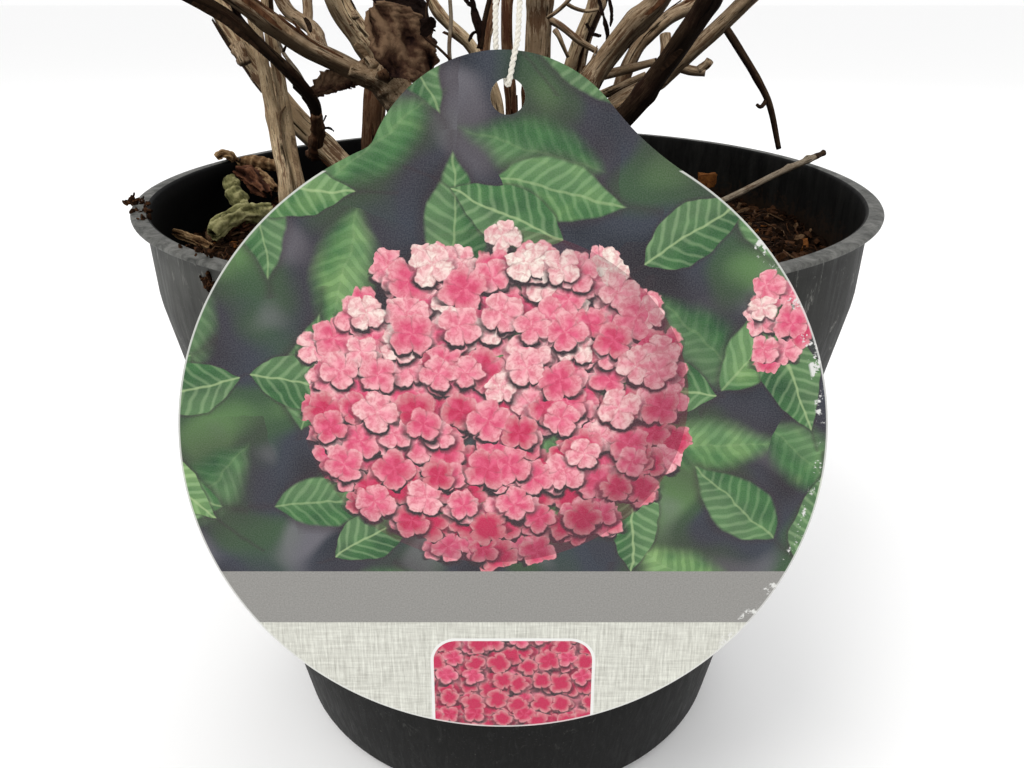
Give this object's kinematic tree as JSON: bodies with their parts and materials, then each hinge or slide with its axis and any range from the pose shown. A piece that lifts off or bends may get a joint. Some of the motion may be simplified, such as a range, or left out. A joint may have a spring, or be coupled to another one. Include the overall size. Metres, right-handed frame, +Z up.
{
  "type": "dormant potted hydrangea shrub",
  "caption": "Bare winter hydrangea shrub with spreading stems and twigs in a round nursery pot, with a round picture card hung on a string.",
  "frame": {"origin": "middle of the pot's flat underside, on the ground", "axes": "+Z up; -Y towards the front, where the card hangs; +X to the right of a viewer at the front"},
  "size_m": [0.4535, 0.4338, 0.62],
  "materials": {
    "pot_plastic": "dull black-grey moulded plastic with chalky scuffs",
    "soil": "dark peat with orange-brown bark chips",
    "bark_tan": "rough tan-grey bark that peels in red-brown strips",
    "bark_dark": "near-black brown weathered bark",
    "twigs": "smooth red-brown young bark",
    "leaf_brown": "dry crumpled leaf",
    "leaf_green": "withered olive-green leaf",
    "card_print": "satin printed plastic card, off-white behind",
    "string": "cream twisted cotton"
  },
  "bodies": {
    "root": {"pot": "pot_plastic", "soil": "soil", "trunk_left": "bark_tan", "trunk_right": "bark_tan", "bough_left": "bark_tan", "bough_left_upright": "bark_tan", "bough_left_dark": "bark_dark", "bough_left_back": "bark_tan", "bough_right": "bark_tan", "bough_right_upright": "bark_tan", "bough_right_dark": "bark_dark", "stem_left_pale_front": "bark_tan", "stem_left_pale_back": "bark_tan", "stem_left_low": "bark_tan", "stem_rear_left": "bark_tan", "stem_ochre": "bark_tan", "stem_red": "bark_tan", "stem_rear": "bark_tan", "stem_middle": "bark_tan", "stem_right_back": "bark_tan", "stem_right_rear": "bark_tan", "twig_hanging": "bark_dark", "twig_short_spur": "bark_tan", "twig_crossing": "bark_tan", "twig_left_upright": "bark_tan", "twig_link": "bark_tan", "twig_stub": "bark_tan", "stem_right_pale": "bark_tan", "stem_right_knee": "bark_tan", "twigs_front_left": "twigs", "twigs_left": "twigs", "twigs_left_inner": "twigs", "twigs_left_pale_front": "twigs", "twigs_left_pale_back": "twigs", "twigs_left_low": "twigs", "twigs_left_rear": "twigs", "twigs_rear_left": "twigs", "twigs_top": "twigs", "twigs_top_right": "twigs", "twigs_rear_inner": "twigs", "twigs_rear": "twigs", "twigs_front": "twigs", "twigs_right_back": "twigs", "twigs_right_inner": "twigs", "twigs_front_right": "twigs", "twigs_right": "twigs", "twigs_right_rear": "twigs", "withered_leaf_trunk": "leaf_brown", "withered_leaf_hanging": "leaf_brown", "fallen_leaf_brown": "leaf_brown", "fallen_leaf_green": "leaf_green", "loose_stick": "bark_tan", "label_card": "card_print", "label_string": "string"}
  },
  "joints": []
}
